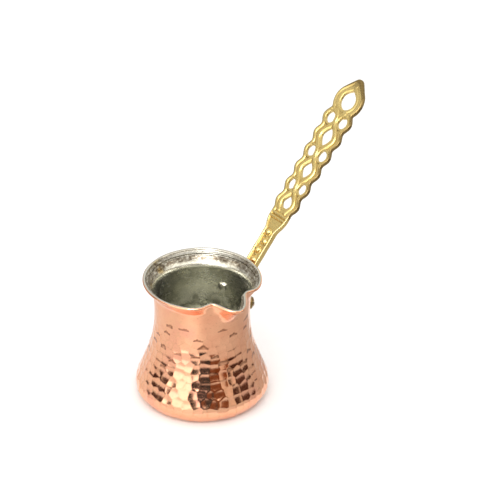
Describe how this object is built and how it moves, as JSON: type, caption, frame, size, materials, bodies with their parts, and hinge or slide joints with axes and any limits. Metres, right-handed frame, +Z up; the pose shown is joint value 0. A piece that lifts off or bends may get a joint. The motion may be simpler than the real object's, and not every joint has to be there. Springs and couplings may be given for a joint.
{
  "type": "turkish coffee pot cezve",
  "caption": "Small hammered copper coffee pot with a tinned inside, a narrow neck, a flared rim pinched into a side spout, and a riveted openwork brass handle.",
  "frame": {"origin": "centre of the flat resting face under the pot", "axes": "+Z up along the pot's axis; +X horizontally towards the handle; the pouring spout points towards -Y"},
  "size_m": [0.1475, 0.0743, 0.1581],
  "materials": {
    "copper": "polished, hammered in rows, smoother at the neck",
    "tin": "satin hot-wiped tin, mottled",
    "cast_brass": "polished casting with darker recesses",
    "rivet_metal": "domed heads, tinned"
  },
  "bodies": {
    "root": {"pot_body": "copper", "tin_lining": "tin", "handle": "cast_brass", "handle_rivets": "rivet_metal"}
  },
  "joints": []
}
